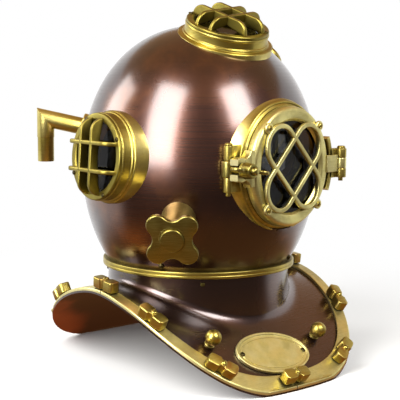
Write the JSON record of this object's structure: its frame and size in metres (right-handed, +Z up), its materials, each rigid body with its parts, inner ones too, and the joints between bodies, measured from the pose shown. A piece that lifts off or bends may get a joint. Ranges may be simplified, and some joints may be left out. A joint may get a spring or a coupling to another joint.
{
  "type": "diving helmet",
  "caption": "Copper diving helmet: an egg-shaped bonnet with caged round windows and a hinged front door that turns on a saddle-shaped breastplate with a brass clamped rim.",
  "frame": {"origin": "on the plane that the two lobes of the breastplate stand on, below the neck's axis", "axes": "+Z up along the neck's axis, -Y out of the front window, -X to the diver's right hand"},
  "size_m": [0.3751, 0.392, 0.4499],
  "materials": {
    "bonnet_copper": "antiqued satin copper, reddish brown, lacquered",
    "plate_copper": "antiqued satin copper, greyer purple-brown, lacquered",
    "brass": "antiqued brushed brass",
    "rim_brass": "paler brushed brass",
    "clamp_brass": "cast brass, orange-brown in the recesses",
    "plate_brass": "cast brass, matt",
    "guard_brass": "cast antiqued brass, olive",
    "valve_brass": "cast antiqued brass, darker",
    "screw_brass": "worn brass",
    "dark_screw": "blackened brass",
    "glass": "clear, dark behind",
    "rubber": "matt black",
    "leather": "oiled dark brown"
  },
  "bodies": {
    "breastplate": {"breastplate": "plate_copper", "collar_ring": "brass", "neck_gasket": "leather", "rim_front_right": "rim_brass", "rim_front_left": "rim_brass", "rim_back_right": "rim_brass", "rim_back_left": "rim_brass", "rim_clamps": "clamp_brass", "clamp_screws": "screw_brass", "weight_balls": "clamp_brass", "oval_plate": "plate_brass", "oval_plate_screws": "screw_brass", "collar_screws": "dark_screw"},
    "bonnet": {"bonnet": "bonnet_copper", "bonnet_ring": "brass", "ring_studs": "dark_screw", "front_barrel": "brass", "door_gasket": "rubber", "hinge_pin": "screw_brass", "latch_pin": "screw_brass", "top_window": "brass", "right_window": "brass", "left_window": "brass", "top_gasket": "rubber", "right_gasket": "rubber", "left_gasket": "rubber", "top_glass": "glass", "right_glass": "glass", "left_glass": "glass", "top_guard": "guard_brass", "right_guard": "guard_brass", "left_guard": "guard_brass", "guard_screws": "screw_brass", "air_elbow": "brass", "air_spigot": "brass", "phone_elbow": "brass", "phone_spigot": "brass", "speaker_cup": "brass", "exhaust_body": "valve_brass", "exhaust_bridge": "valve_brass"},
    "front_door": {"front_door": "brass", "door_glass": "glass", "glass_retainer": "valve_brass", "door_guard": "rim_brass", "door_guard_screws": "screw_brass"},
    "swing_bolt": {"swing_bolt": "valve_brass"},
    "bolt_washer": {"bolt_washer": "valve_brass"},
    "wing_nut": {"wing_nut": "valve_brass"},
    "exhaust_wheel": {"exhaust_wheel": "valve_brass", "wheel_cap": "valve_brass"},
    "chin_valve": {"chin_valve": "valve_brass"}
  },
  "joints": [
    {"name": "bonnet_turn", "type": "hinge", "parent": "breastplate", "child": "bonnet", "pos_m": [0, 0, 0.1273], "axis": [0, 0, 1], "range_deg": [-6, 39]},
    {"name": "door_swing", "type": "hinge", "parent": "bonnet", "child": "front_door", "pos_m": [0.096, -0.1503, 0.2545], "axis": [0, 0, 1], "range_deg": [0, 110]},
    {"name": "bolt_swing", "type": "hinge", "parent": "bonnet", "child": "swing_bolt", "pos_m": [-0.09, -0.13, 0.2561], "axis": [0, 0, -1], "range_deg": [0, 90]},
    {"name": "nut_travel", "type": "slide", "parent": "swing_bolt", "child": "bolt_washer", "axis": [0, -1, 0], "range_m": [-0.00201, 0.00101]},
    {"name": "nut_spin", "type": "hinge", "parent": "bolt_washer", "child": "wing_nut", "pos_m": [-0.09, -0.1552, 0.2561], "axis": [0, -1, 0], "range_deg": [-240, 120]},
    {"name": "exhaust_turn", "type": "hinge", "parent": "bonnet", "child": "exhaust_wheel", "pos_m": [-0.11789, -0.07952, 0.1973], "axis": [-0.7646, -0.5974, -0.2419], "range_deg": [-135, 135]},
    {"name": "chin_push", "type": "slide", "parent": "bonnet", "child": "chin_valve", "axis": [-0.7646, -0.5974, -0.2419], "range_m": [0, 0.004], "stiffness_N_per_m": 250}
  ],
  "couplings": [
    {"joint": "nut_travel", "follows": "nut_spin", "m_per_rad": 0.00047746}
  ]
}
